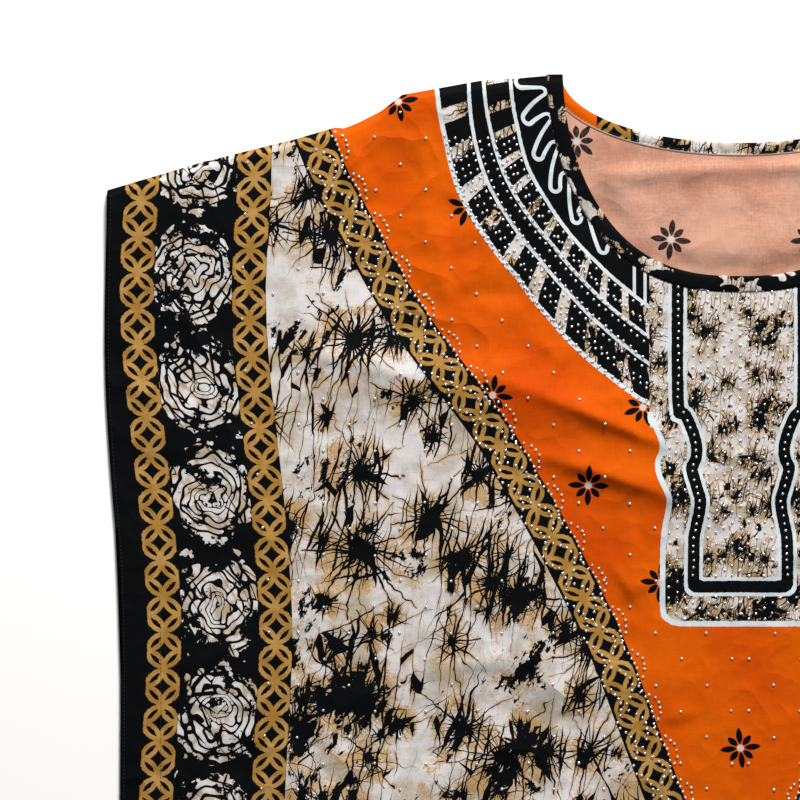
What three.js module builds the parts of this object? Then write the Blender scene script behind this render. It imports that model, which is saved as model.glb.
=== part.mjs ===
// A one-size kaftan of thin printed cotton, lying flat on its back with the front uppermost.
// Front and back are wide panels that meet along the shoulder line, with the sleeves cut in one with
// them. A bias binding finishes the neck: its outer half shows on the front, its inner half inside the
// back. The origin is the middle of the footprint, on the surface that the back lies on; +Y runs from
// hem to neck, +X to the right as seen from above and +Z up. All sizes are in millimetres.
import * as THREE from "three";

// Cloth
const LENGTH = 1340; // shoulder point to hem
const CLOTH = 1.2; // wall of a panel
const TAPE = 1.0; // wall of the binding
const SEAM = 0.3; // clearance between pieces that are sewn together
const BINDING_WIDTH = 12;
const FACING_WIDTH = 11;
const TOP = LENGTH / 2;

// Neck opening: |x / halfWidth| ^ across + |depth / its depth| ^ down = 1
const FRONT_NECK = { halfWidth: 150, depth: 170, across: 2.6, down: 1.9 };
const BACK_NECK = { halfWidth: 150, depth: 57, across: 2, down: 2 };

// Shoulder line, from the neck outwards: distance from the centre line, and drop below the top.
const SHOULDER = [
  { out: 150, drop: 0 },
  { out: 218, drop: 5 },
  { out: 262, drop: 13 },
  { out: 302, drop: 31 },
  { out: 336, drop: 44 },
  { out: 373, drop: 54 },
  { out: 450, drop: 73 },
  { out: 531, drop: 97 },
];

// Side edge, from the sleeve tip to the hem: distance below the top, and half the width there.
const SIDE = [
  { down: 97, half: 531 },
  { down: 190, half: 533.5 },
  { down: 256, half: 533.5 },
  { down: 337, half: 528.5 },
  { down: 416, half: 521.5 },
  { down: 506, half: 520 },
  { down: 900, half: 522 },
  { down: 1340, half: 527 },
];
const HEM_RISE = 9; // how far the hem lifts towards its two corners

// Largest folds of the front: a ridge from (x, down) to (toX, toDown), bowed sideways at its middle,
// with its height and the distance to either side over which it fades.
const FOLDS = [
  { x: -402, down: 246, toX: -36, toDown: 318, bow: 15, height: 5.4, spread: 24 },
  { x: -150, down: 326, toX: 10, toDown: 374, bow: 4, height: 3.6, spread: 19 },
  { x: -455, down: 180, toX: -385, toDown: 110, bow: 5, height: 2.5, spread: 24 },
  { x: -225, down: 520, toX: -18, toDown: 508, bow: 5, height: 2.5, spread: 20 },
  { x: -395, down: 640, toX: -190, toDown: 548, bow: -18, height: 3.2, spread: 26 },
  { x: 60, down: 322, toX: 372, toDown: 236, bow: 14, height: 4.7, spread: 25 },
  { x: 150, down: 402, toX: 330, toDown: 372, bow: -8, height: 2.9, spread: 22 },
  { x: 300, down: 640, toX: 455, toDown: 520, bow: 16, height: 3.6, spread: 27 },
  { x: -300, down: 820, toX: 60, toDown: 742, bow: 30, height: 4.7, spread: 30 },
  { x: 90, down: 860, toX: 400, toDown: 800, bow: -16, height: 4, spread: 28 },
  { x: -430, down: 1010, toX: -160, toDown: 960, bow: 16, height: 3.6, spread: 28 },
  { x: -90, down: 1060, toX: 250, toDown: 1120, bow: 24, height: 4.7, spread: 30 },
  { x: -330, down: 1235, toX: -60, toDown: 1190, bow: -14, height: 3.2, spread: 27 },
  { x: 230, down: 1010, toX: 440, toDown: 940, bow: 12, height: 3.2, spread: 26 },
];
const SHOULDER_LOFT = 2.8; // how far the folded shoulder stands up behind its edge
const SHOULDER_ROLL = 7; // distance over which it turns down to the back
const SHOULDER_FADE = 85; // distance over which it sinks again
const EDGE_FADE = 42; // distance over which the folds sink towards a side edge or the hem
const CORNER_LIFT = 1.6; // the front rides over the ends of the facing by this much
const CORNER_REACH = 26;

// Grid of the front: columns along each shoulder and round the neck, and rows from hem to neck.
const SHOULDER_COLUMNS = 13;
const NECK_COLUMNS = 16;
const ROWS = 43;

const smoothstep = THREE.MathUtils.smoothstep;

// Smooth curve through a table: the value of column `out` where column `by` is `at`.
function lookUp(table, by, out, at) {
  const last = table.length - 2;
  const i = Math.min(last, Math.max(0, table.findIndex((row) => row[by] > at) - 1));
  const k = at >= table[last + 1][by] ? last : i;
  const slope = (j) => {
    const a = table[Math.max(0, j - 1)];
    const b = table[Math.min(last + 1, j + 1)];
    return (b[out] - a[out]) / (b[by] - a[by]);
  };
  const step = table[k + 1][by] - table[k][by];
  const t = THREE.MathUtils.clamp((at - table[k][by]) / step, 0, 1);
  const h = t * t * (3 - 2 * t);
  return (
    table[k][out] * (1 - h) +
    table[k + 1][out] * h +
    step * (t * (1 - t) ** 2 * slope(k) - t * t * (1 - t) * slope(k + 1))
  );
}

// Outline of a panel.
const shoulderY = (x) => TOP - lookUp(SHOULDER, "out", "drop", Math.abs(x));
const halfWidthAt = (y) => lookUp(SIDE, "down", "half", TOP - y);
const SLEEVE_TIP = SHOULDER.at(-1).out;
const HEM_HALF = SIDE.at(-1).half;
const hemY = (x) => -TOP + HEM_RISE * (x / HEM_HALF) ** 2;

// Point on a neck curve, shrunk or grown by `inset`; turn runs from -1, left shoulder, to 1.
function neckPoint(neck, turn, inset = 0) {
  const angle = (turn * Math.PI) / 2;
  const width = neck.halfWidth + inset;
  const depth = neck.depth + inset;
  return new THREE.Vector2(
    Math.sign(angle) * width * Math.abs(Math.sin(angle)) ** (2 / neck.across),
    TOP - depth * Math.abs(Math.cos(angle)) ** (2 / neck.down),
  );
}

// The top edge of a panel from its left sleeve tip to its right one, evenly spaced along each stretch.
function topEdge(neck, inset, shoulderColumns, neckColumns) {
  const start = neck.halfWidth + inset;
  const side = [];
  for (let i = 0; i < shoulderColumns; i++) {
    const x = THREE.MathUtils.lerp(SLEEVE_TIP, start, i / shoulderColumns);
    side.push(new THREE.Vector2(-x, shoulderY(x)));
  }
  const fine = Array.from({ length: 401 }, (_, i) => neckPoint(neck, i / 200 - 1, inset));
  const round = new THREE.Path(fine).getSpacedPoints(neckColumns);
  const mirrored = side.map((p) => new THREE.Vector2(-p.x, p.y)).reverse();
  return [...side, ...round, ...mirrored];
}

// Distance from a point to the side edge or hem, whichever is nearer.
function edgeDistance(x, y) {
  return Math.min(halfWidthAt(y) - Math.abs(x), y - hemY(x));
}

// Height of one fold at a point: full along its middle, fading to nothing at its ends and sides.
function foldHeight(fold, x, y) {
  const start = new THREE.Vector2(fold.x, TOP - fold.down);
  const run = new THREE.Vector2(fold.toX, TOP - fold.toDown).sub(start);
  const size = run.length();
  const along = run.divideScalar(size);
  const to = new THREE.Vector2(x, y).sub(start);
  const s = to.dot(along) / size;
  if (s <= 0 || s >= 1) return 0;
  const aside = to.cross(along) + fold.bow * 4 * s * (1 - s);
  return fold.height * Math.sin(Math.PI * s) ** 0.8 * Math.exp(-((aside / fold.spread) ** 2));
}

// Height of the front's underside above its lowest possible place, one seam above the back.
function relief(x, y) {
  const folds = FOLDS.reduce((sum, fold) => sum + foldHeight(fold, x, y), 0);
  const flat = smoothstep(edgeDistance(x, y), 0, EDGE_FADE);
  const below = Math.max(0, shoulderY(Math.max(Math.abs(x), FRONT_NECK.halfWidth)) - y);
  const rolled = smoothstep(below, 0, SHOULDER_ROLL);
  const loft = SHOULDER_LOFT * rolled * (1 - smoothstep(below, SHOULDER_ROLL, SHOULDER_FADE));
  const corner = Math.hypot(Math.abs(x) - FRONT_NECK.halfWidth, TOP - y);
  const lift = CORNER_LIFT * (1 - smoothstep(corner, CORNER_REACH, 2 * CORNER_REACH));
  return folds * flat * rolled + Math.max(loft, lift);
}

const FRONT_BASE = CLOTH + SEAM;
const frontPoint = (p) => new THREE.Vector3(p.x, p.y, FRONT_BASE + relief(p.x, p.y));

// Direction into the panel, square to a top edge at its point i.
function squareInto(edge, i) {
  const a = edge[Math.max(0, i - 1)];
  const b = edge[Math.min(edge.length - 1, i + 1)];
  return new THREE.Vector2(b.y - a.y, a.x - b.x).normalize();
}

// The row of points that lies a binding's width inside the front's top edge, out to both side edges.
function rowBelow(edge) {
  const row = edge.map((p, i) => p.clone().addScaledVector(squareInto(edge, i), BINDING_WIDTH));
  row[0].x = -halfWidthAt(row[0].y);
  row.at(-1).x = halfWidthAt(row.at(-1).y);
  return row;
}

// The front's points, row by row from the hem to the row under the binding and then the cut edge.
function frontGrid() {
  const edge = topEdge(FRONT_NECK, SEAM + TAPE, SHOULDER_COLUMNS, NECK_COLUMNS);
  const band = rowBelow(edge);
  const last = edge.length - 1;
  const rows = [];
  for (let j = 0; j < ROWS; j++) {
    const up = j / ROWS;
    const draw = smoothstep(up, 0.35, 1) ** 1.5;
    rows.push(
      band.map((goal, i) => {
        const share = (2 * i) / last - 1;
        const foot = hemY(share * HEM_HALF);
        const y = THREE.MathUtils.lerp(foot, goal.y, up);
        const across = share * halfWidthAt(y);
        const x = i % last === 0 ? across : THREE.MathUtils.lerp(across, goal.x, draw);
        return new THREE.Vector2(x, y);
      }),
    );
  }
  return [...rows, band, edge].map((row) => row.map(frontPoint));
}

// A closed wall from rows of points: its underside is the points, its top the points moved up.
function wall(rows, thickness) {
  const across = rows[0].length;
  const count = rows.length * across;
  const up = new THREE.Vector3(0, 0, thickness);
  const under = rows.flat();
  const over = under.map((p) => p.clone().add(up));
  const faces = [];
  const quad = (a, b, c, d) => faces.push(a, b, c, a, c, d);
  for (let j = 0; j + 1 < rows.length; j++) {
    for (let i = 0; i + 1 < across; i++) {
      const a = j * across + i;
      const b = a + 1;
      const c = b + across;
      const d = a + across;
      quad(a + count, b + count, c + count, d + count);
      faces.push(a, c, b, a, d, c);
    }
  }
  const rim = [];
  for (let i = 0; i < across; i++) rim.push(i);
  for (let j = 1; j < rows.length; j++) rim.push(j * across + across - 1);
  for (let i = across - 2; i >= 0; i--) rim.push((rows.length - 1) * across + i);
  for (let j = rows.length - 2; j > 0; j--) rim.push(j * across);
  rim.forEach((a, k) => {
    const b = rim[(k + 1) % rim.length];
    quad(a, b, b + count, a + count);
  });
  const geometry = new THREE.BufferGeometry().setFromPoints([...under, ...over]);
  geometry.setIndex(faces);
  geometry.computeVertexNormals();
  return geometry;
}

// A closed bar swept through sections that all have the same number of corners.
function sweep(sections) {
  const corners = sections[0].length;
  const faces = [];
  for (let k = 0; k + 1 < sections.length; k++) {
    for (let i = 0; i < corners; i++) {
      const a = k * corners + i;
      const b = k * corners + ((i + 1) % corners);
      faces.push(a, b, b + corners, a, b + corners, a + corners);
    }
  }
  // The ends are cut into triangles as the section's own outline needs, in its width and height.
  const flat = sections[0].map((p) => new THREE.Vector2(p.across, p.height));
  const end = (sections.length - 1) * corners;
  for (const [a, b, c] of THREE.ShapeUtils.triangulateShape(flat, [])) {
    faces.push(a, c, b, end + a, end + b, end + c);
  }
  const geometry = new THREE.BufferGeometry().setFromPoints(sections.flat().map((p) => p.at));
  geometry.setIndex(faces);
  geometry.computeVertexNormals();
  return geometry;
}

function printedCloth(color) {
  return new THREE.MeshStandardMaterial({ color, roughness: 0.82, metalness: 0 });
}

// Front: the upper panel, with the deep neck and the folds that it lies in.
function makeFront(rows) {
  const front = new THREE.Mesh(wall(rows, CLOTH), printedCloth(0xd9c9ae));
  front.name = "front";
  return front;
}

// Back: flat on the surface, with the shallow neck.
function makeBack() {
  const top = topEdge(BACK_NECK, 0, SHOULDER_COLUMNS, NECK_COLUMNS);
  const side = SIDE.slice(1, -1).map((row) => new THREE.Vector2(row.half, TOP - row.down));
  const foot = [];
  for (let i = 0; i <= 16; i++) {
    const x = HEM_HALF * (1 - i / 8);
    foot.push(new THREE.Vector2(x, hemY(x)));
  }
  const left = side.map((p) => new THREE.Vector2(-p.x, p.y)).reverse();
  const outline = new THREE.Shape([...top, ...side, ...foot, ...left]);
  const geometry = new THREE.ExtrudeGeometry(outline, { depth: CLOTH, bevelEnabled: false });
  const back = new THREE.Mesh(geometry, printedCloth(0xe06a12));
  back.name = "back";
  return back;
}

// Binding, front half: an angle that covers the front's cut neck edge. Its leg lies on the panel and is
// made from the panel's own two top rows, moved up.
function makeNeckBinding(rows) {
  const [band, edge] = rows.slice(-2);
  const sections = [];
  for (let i = SHOULDER_COLUMNS; i <= SHOULDER_COLUMNS + NECK_COLUMNS; i++) {
    const inward = edge[i].clone().sub(band[i]).setZ(0).normalize();
    const place = (base, reach, height) =>
      base.clone().addScaledVector(inward, reach).add(new THREE.Vector3(0, 0, height));
    const leg = CLOTH + SEAM;
    sections.push([
      { across: 0, height: leg, at: place(band[i], 0, leg) },
      { across: BINDING_WIDTH, height: leg, at: place(edge[i], 0, leg) },
      { across: BINDING_WIDTH + SEAM, height: leg, at: place(edge[i], SEAM, leg) },
      { across: BINDING_WIDTH + SEAM, height: 0, at: place(edge[i], SEAM, 0) },
      { across: BINDING_WIDTH + SEAM + TAPE, height: 0, at: place(edge[i], SEAM + TAPE, 0) },
      {
        across: BINDING_WIDTH + SEAM + TAPE,
        height: leg + TAPE,
        at: place(edge[i], SEAM + TAPE, leg + TAPE),
      },
      { across: BINDING_WIDTH, height: leg + TAPE, at: place(edge[i], 0, leg + TAPE) },
      { across: 0, height: leg + TAPE, at: place(band[i], 0, leg + TAPE) },
    ]);
  }
  const binding = new THREE.Mesh(sweep(sections), printedCloth(0x1b1714));
  binding.name = "neck_binding";
  return binding;
}

// Binding, back half: a strip turned to the inside of the back and lying flat on it.
function makeNeckFacing() {
  const ENDS = 0.93; // it stops this share of the way round to each shoulder point
  const STATIONS = 24;
  const level = CLOTH + SEAM;
  const turns = Array.from({ length: STATIONS + 1 }, (_, i) => ENDS * ((2 * i) / STATIONS - 1));
  const outer = turns.map((turn) => neckPoint(BACK_NECK, turn));
  const inner = outer.map((p, i) => p.clone().addScaledVector(squareInto(outer, i), FACING_WIDTH));
  const rows = [inner, outer].map((row) => row.map((p) => new THREE.Vector3(p.x, p.y, level)));
  const facing = new THREE.Mesh(wall(rows, TAPE), printedCloth(0xd98a2b));
  facing.name = "neck_facing";
  return facing;
}

const rows = frontGrid();
const kaftan = new THREE.Group();
kaftan.add(makeFront(rows), makeBack(), makeNeckBinding(rows), makeNeckFacing());
export default kaftan;
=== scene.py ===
# A one-size kaftan of thin printed cotton, lying flat with its front uppermost, seen from straight above.
# Everything is in metres in the frame's own axes: +Y from hem to neck, +Z up off the surface.
import math

import bpy
import numpy as np
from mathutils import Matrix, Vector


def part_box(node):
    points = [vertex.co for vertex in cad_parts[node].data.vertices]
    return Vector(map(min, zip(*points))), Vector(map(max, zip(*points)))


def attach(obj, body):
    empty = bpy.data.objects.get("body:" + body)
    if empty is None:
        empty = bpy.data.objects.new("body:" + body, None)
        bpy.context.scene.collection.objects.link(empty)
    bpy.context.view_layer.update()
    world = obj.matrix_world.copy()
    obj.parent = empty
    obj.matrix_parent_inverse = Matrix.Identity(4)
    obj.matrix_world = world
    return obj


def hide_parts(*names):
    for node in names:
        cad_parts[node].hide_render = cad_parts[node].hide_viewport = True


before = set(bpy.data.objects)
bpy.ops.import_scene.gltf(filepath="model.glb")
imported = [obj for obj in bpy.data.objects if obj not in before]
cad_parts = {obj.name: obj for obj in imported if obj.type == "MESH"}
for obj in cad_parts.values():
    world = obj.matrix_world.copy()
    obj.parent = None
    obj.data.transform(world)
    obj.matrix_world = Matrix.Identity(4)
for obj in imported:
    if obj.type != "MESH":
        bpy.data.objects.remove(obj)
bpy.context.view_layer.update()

# --- Camera, floor and studio light -------------------------------------------------------------------
# The camera looks straight down on the upper left quarter of the garment. The floor is plain white. A
# broad lamp beyond the neck rakes across the cloth, and a large dim one overhead fills the shadows.
top_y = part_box("back")[1][1]
VIEW_WIDTH = 0.672
VIEW_CENTRE = (-0.2856, top_y - 0.273)
CAMERA_HEIGHT = 2.6

camera_data = bpy.data.cameras.new("camera")
camera_data.sensor_width = 36
camera_data.lens = camera_data.sensor_width * CAMERA_HEIGHT / VIEW_WIDTH
camera_data.clip_end = 20
camera = bpy.data.objects.new("camera", camera_data)
camera.location = (VIEW_CENTRE[0], VIEW_CENTRE[1], CAMERA_HEIGHT)
bpy.context.scene.collection.objects.link(camera)
bpy.context.scene.camera = camera


def area_light(name, place, target, size, watts, colour=(1, 1, 1)):
    data = bpy.data.lights.new(name, "AREA")
    data.shape = "RECTANGLE"
    data.size, data.size_y = size
    data.energy = watts
    data.color = colour
    lamp = bpy.data.objects.new(name, data)
    lamp.location = place
    aim = np.array(target) - np.array(place)
    yaw = math.atan2(aim[1], aim[0]) - math.pi / 2
    pitch = math.atan2(math.hypot(aim[0], aim[1]), -aim[2])
    lamp.rotation_euler = (pitch, 0, yaw)
    bpy.context.scene.collection.objects.link(lamp)


area_light("key_lamp", (0.55, 3.7, 2.1), (-0.2, 0.3, 0), (1.1, 0.55), 272, (1.0, 0.985, 0.965))
area_light("fill_lamp", (-0.3, 0.2, 3.6), (-0.2, 0.2, 0), (2.2, 2.2), 13, (0.97, 0.985, 1.0))
bpy.context.scene.view_settings.view_transform = "Standard"

floor_mesh = bpy.data.meshes.new("floor")
FLOOR_HALF = 6.0
corners = [(-FLOOR_HALF, -FLOOR_HALF), (FLOOR_HALF, -FLOOR_HALF), (FLOOR_HALF, FLOOR_HALF)]
corners.append((-FLOOR_HALF, FLOOR_HALF))
floor_mesh.from_pydata([(x, y, -0.0004) for x, y in corners], [], [(0, 1, 2, 3)])
floor = bpy.data.objects.new("floor", floor_mesh)
bpy.context.scene.collection.objects.link(floor)
floor_paint = bpy.data.materials.new("floor_paint")
floor_paint.use_nodes = True
floor_shader = floor_paint.node_tree.nodes["Principled BSDF"]
floor_shader.inputs["Base Color"].default_value = (0.97, 0.97, 0.97, 1)
floor_shader.inputs["Roughness"].default_value = 0.9
floor_mesh.materials.append(floor_paint)
studio = bpy.data.worlds.new("studio")
studio.use_nodes = True
studio.node_tree.nodes["Background"].inputs["Color"].default_value = (1, 1, 1, 1)
studio.node_tree.nodes["Background"].inputs["Strength"].default_value = 0.20
bpy.context.scene.world = studio

# --- Cut of the panels --------------------------------------------------------------------------------
# Front and back are cut to one outline from a single width of cloth: shoulders that slope to the sleeve
# tips, nearly straight sides and a straight hem. Only their necks differ, deep in front, shallow behind.
SHOULDER = np.array([  # distance from the centre line, drop below the shoulder point
    (0.150, 0.000), (0.184, 0.003), (0.218, 0.005), (0.262, 0.013), (0.284, 0.017), (0.302, 0.031),
    (0.322, 0.041), (0.3335, 0.0455), (0.339, 0.044), (0.373, 0.054), (0.450, 0.073), (0.531, 0.097),
])
SIDE = np.array([  # distance below the shoulder point, half the width there
    (0.097, 0.5310), (0.190, 0.5335), (0.256, 0.5335), (0.337, 0.5285), (0.416, 0.5215),
    (0.506, 0.5200), (0.900, 0.5220), (1.340, 0.5270),
])
HEM_RISE = 0.009
hem_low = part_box("back")[0][1]
FRONT_NECK = {"half": 0.150, "depth": 0.170, "across": 2.6, "down": 1.9}
BACK_NECK = {"half": 0.150, "depth": 0.057, "across": 2.0, "down": 2.0}
sleeve_tip = SHOULDER[-1, 0]
hem_half = SIDE[-1, 1]


def smoothstep(value, low, high):
    t = np.clip((value - low) / (high - low), 0, 1)
    return t * t * (3 - 2 * t)


def shoulder_y(x):
    return top_y - np.interp(np.abs(x), SHOULDER[:, 0], SHOULDER[:, 1])


def half_width(y):
    """Half the width of a panel at a height, with the table's corners rounded off."""
    down = top_y - np.asarray(y, float)
    around = [np.interp(down + step, SIDE[:, 0], SIDE[:, 1]) for step in (-0.03, -0.015, 0, 0.015, 0.03)]
    return np.mean(around, axis=0)


def hem_y(x):
    return hem_low + HEM_RISE * (x / hem_half) ** 2


def neck_curve(neck, turn, inset=0.0):
    """Points on a neck curve; turn runs from -1 at the left shoulder point to 1 at the right."""
    angle = np.asarray(turn, float) * math.pi / 2
    across = np.sign(angle) * np.abs(np.sin(angle)) ** (2 / neck["across"])
    down = np.abs(np.cos(angle)) ** (2 / neck["down"])
    half, depth = neck["half"] + inset, neck["depth"] + inset
    return np.stack([half * across, top_y - depth * down], axis=-1)


def distances_along(path):
    """How far along a path each of its points lies."""
    return np.concatenate([[0], np.cumsum(np.hypot(*np.diff(path, axis=0).T))])


def places_along(path, at):
    """The places that lie at the given distances along a path."""
    walked = distances_along(path)
    return np.stack([np.interp(at, walked, path[:, k]) for k in range(2)], axis=-1)


def spaced(path, count):
    """The same path with count points at even distances."""
    return places_along(path, np.linspace(0, distances_along(path)[-1], count))


# --- Folds --------------------------------------------------------------------------------------------
# The front was shaken out and lies in long soft swells, with sharper creases left from being folded. The
# large ones are the frame's own. Each row: where the ridge starts and ends, how far its middle bows
# aside, its height, and how quickly it fades on its near side and on its far side.
LARGE_FOLDS = [  # x, down, to x, to down, bow, height, spread: all as the panel's solid has them
    (-0.402, 0.246, -0.036, 0.318, 0.015, 0.0054, 0.024),
    (-0.150, 0.326, 0.010, 0.374, 0.004, 0.0036, 0.019),
    (-0.455, 0.180, -0.385, 0.110, 0.005, 0.0025, 0.024),
    (-0.225, 0.520, -0.018, 0.508, 0.005, 0.0025, 0.020),
    (-0.395, 0.640, -0.190, 0.548, -0.018, 0.0032, 0.026),
    (0.060, 0.322, 0.372, 0.236, 0.014, 0.0047, 0.025),
    (0.150, 0.402, 0.330, 0.372, -0.008, 0.0029, 0.022),
    (0.300, 0.640, 0.455, 0.520, 0.016, 0.0036, 0.027),
    (-0.300, 0.820, 0.060, 0.742, 0.030, 0.0047, 0.030),
    (0.090, 0.860, 0.400, 0.800, -0.016, 0.0040, 0.028),
    (-0.430, 1.010, -0.160, 0.960, 0.016, 0.0036, 0.028),
    (-0.090, 1.060, 0.250, 1.120, 0.024, 0.0047, 0.030),
    (-0.330, 1.235, -0.060, 1.190, -0.014, 0.0032, 0.027),
    (0.230, 1.010, 0.440, 0.940, 0.012, 0.0032, 0.026),
]
CREASES = [  # x, down, to x, to down, bow, height, spread on the left of its run, spread on the right
    (-0.235, 0.246, -0.035, 0.325, 0.003, 0.0036, 0.0160, 0.0068),
    (-0.190, 0.316, -0.050, 0.358, 0.003, 0.0034, 0.0140, 0.0066),
    (-0.395, 0.232, -0.245, 0.262, 0.004, 0.0022, 0.0150, 0.0070),
    (-0.268, 0.024, -0.261, 0.196, 0.002, 0.0011, 0.0045, 0.0100),
    (-0.252, 0.092, -0.236, 0.240, -0.005, 0.0019, 0.0030, 0.0130),
    (-0.238, 0.187, -0.168, 0.184, 0.001, -0.0009, 0.0050, 0.0050),
    (-0.218, 0.247, -0.178, 0.246, 0.001, 0.0012, 0.0080, 0.0025),
    (-0.346, 0.040, -0.310, 0.108, 0.006, 0.0016, 0.0035, 0.0090),
    (-0.262, 0.088, -0.232, 0.112, 0.002, 0.0012, 0.0080, 0.0040),
    (-0.141, 0.226, -0.170, 0.268, 0.002, 0.0012, 0.0035, 0.0080),
    (-0.183, 0.216, -0.150, 0.242, 0.001, 0.0010, 0.0080, 0.0040),
    (-0.120, 0.277, -0.086, 0.272, 0.001, 0.0012, 0.0090, 0.0035),
    (-0.091, 0.368, -0.092, 0.440, 0.002, 0.0012, 0.0035, 0.0100),
    (-0.110, 0.408, -0.088, 0.448, 0.002, 0.0012, 0.0090, 0.0040),
    (-0.062, 0.420, -0.098, 0.434, 0.001, 0.0012, 0.0040, 0.0090),
    (-0.069, 0.446, -0.090, 0.498, 0.002, 0.0012, 0.0090, 0.0035),
    (-0.070, 0.545, -0.034, 0.536, 0.001, 0.0013, 0.0090, 0.0035),
    (-0.385, 0.150, -0.360, 0.235, 0.004, 0.0010, 0.0060, 0.0120),
    (-0.330, 0.300, -0.296, 0.352, 0.004, 0.0013, 0.0050, 0.0130),
    (-0.250, 0.430, -0.175, 0.470, 0.003, 0.0012, 0.0130, 0.0060),
    (-0.372, 0.470, -0.330, 0.420, 0.002, 0.0013, 0.0120, 0.0050),
    (-0.285, 0.505, -0.150, 0.492, 0.004, 0.0017, 0.0160, 0.0060),
    (-0.440, 0.330, -0.400, 0.300, 0.002, 0.0010, 0.0120, 0.0060),
    (-0.470, 0.520, -0.425, 0.470, 0.003, 0.0012, 0.0140, 0.0060),
    (0.020, 0.420, 0.110, 0.380, 0.004, 0.0016, 0.0130, 0.0060),
    (0.118, 0.250, 0.170, 0.310, 0.004, 0.0015, 0.0130, 0.0050),
    (0.236, 0.092, 0.252, 0.232, 0.006, 0.0017, 0.0040, 0.0130),
    (0.205, 0.196, 0.270, 0.182, 0.002, 0.0012, 0.0080, 0.0035),
    (0.330, 0.120, 0.352, 0.200, 0.004, 0.0014, 0.0050, 0.0110),
    (0.260, 0.470, 0.350, 0.440, 0.006, 0.0016, 0.0150, 0.0060),
    (0.080, 0.560, 0.190, 0.600, 0.008, 0.0018, 0.0150, 0.0060),
    (-0.210, 0.640, -0.080, 0.610, 0.006, 0.0016, 0.0150, 0.0060),
    (-0.420, 0.720, -0.330, 0.760, 0.006, 0.0015, 0.0130, 0.0060),
    (0.330, 0.720, 0.420, 0.700, 0.004, 0.0014, 0.0130, 0.0060),
    (-0.120, 0.900, 0.020, 0.930, 0.008, 0.0018, 0.0160, 0.0060),
    (0.150, 0.980, 0.230, 0.940, 0.005, 0.0014, 0.0130, 0.0060),
    (-0.360, 1.080, -0.250, 1.120, 0.006, 0.0015, 0.0140, 0.0060),
    (0.060, 1.220, 0.200, 1.200, 0.005, 0.0014, 0.0140, 0.0060),
    (0.330, 1.100, 0.440, 1.150, 0.006, 0.0015, 0.0140, 0.0060),
]
CREASE_DEPTH = 1.75  # the creases stand this many times as high as their table says
SHOULDER_LOFT = 0.0028
SHOULDER_ROLL = 0.007
SHOULDER_FADE = 0.085
EDGE_FADE = 0.042
CORNER_LIFT = 0.0016
CORNER_REACH = 0.026
SWELL = 0.0009  # height of the slight unevenness that is everywhere


def ridge(x, y, row, fine):
    """Height of one fold at each point: full along its middle, nothing at its ends and sides."""
    start = np.array([row[0], top_y - row[1]])
    run = np.array([row[2], top_y - row[3]]) - start
    size = np.hypot(*run)
    run = run / size
    along = ((x - start[0]) * run[0] + (y - start[1]) * run[1]) / size
    inside = np.clip(along, 0, 1)
    aside = (x - start[0]) * run[1] - (y - start[1]) * run[0]
    aside = aside + row[4] * 4 * inside * (1 - inside)
    spread = np.where(aside < 0, row[6], row[-1])
    body = np.exp(-((aside / spread) ** 2)) if not fine else np.exp(-np.abs(aside / spread) ** 1.35)
    return row[5] * np.sin(math.pi * inside) ** 0.8 * body


def relief(x, y):
    """Height of the cloth above where it would lie with no folds."""
    large = sum(ridge(x, y, row, False) for row in LARGE_FOLDS)
    fine = CREASE_DEPTH * sum(ridge(x, y, row, True) for row in CREASES)
    swell = np.sin(23 * x + 9 * y) * np.sin(17 * y - 6 * x + 1.3) + 0.5 * np.sin(41 * x - 30 * y)
    edge = np.minimum(half_width(y) - np.abs(x), y - hem_y(x))
    flat = smoothstep(edge, 0, EDGE_FADE)
    below = np.maximum(0, shoulder_y(np.maximum(np.abs(x), FRONT_NECK["half"])) - y)
    rolled = smoothstep(below, 0, SHOULDER_ROLL)
    loft = SHOULDER_LOFT * rolled * (1 - smoothstep(below, SHOULDER_ROLL, SHOULDER_FADE))
    corner = np.hypot(np.abs(x) - FRONT_NECK["half"], top_y - y)
    lift = CORNER_LIFT * (1 - smoothstep(corner, CORNER_REACH, 2 * CORNER_REACH))
    near_edge = smoothstep(edge, 0.002, 0.02)
    uneven = (fine + SWELL * (swell + 1.5) / 3) * rolled * near_edge
    return large * flat * rolled + np.maximum(loft, lift) + uneven


CLOTH = 0.0012  # wall of the panels' solids
SEAM = 0.0003
front_rest = CLOTH + SEAM
FRONT_TOP = front_rest + CLOTH + 0.0002  # where the front's printed face lies with no fold under it


def front_height(x, y):
    return FRONT_TOP + relief(x, y)


# --- Layout of the print ------------------------------------------------------------------------------
# The cloth is printed for the garment: a black border with two chains of rings down each side, batik
# beside it, an orange yoke that narrows to a point between two slanting ring chains, and a broad ornament
# round the neck with a bib below it. These fields say where each point of a panel lies in each part.
PRINT_HALF = 0.5325  # half the width of the print, from which the distances into the border are measured
RING_PITCH = 0.0302
OUTER_CHAIN = 0.0285  # distance of each chain's middle from the side edge
INNER_CHAIN = 0.1225
BATIK_EDGE = 0.1368
HEM_CHAIN = 0.055  # middle of the chain along the hem, and height of its black band
HEM_BAND = 0.084
BORDER_BOW = np.array([  # distance below the shoulder point, how far the border has wandered inwards
    (0.00, 0.004), (0.10, 0.002), (0.14, -0.001), (0.18, -0.0025), (0.22, -0.0015), (0.26, 0.002),
    (0.30, 0.0067), (0.33, 0.010), (0.36, 0.0134), (0.39, 0.016), (0.425, 0.019), (0.455, 0.0206),
    (0.485, 0.0205), (0.52, 0.019), (0.55, 0.0168), (0.62, 0.013), (0.80, 0.006), (1.00, 0.009),
    (1.20, 0.004), (1.34, 0.002),
])
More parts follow.
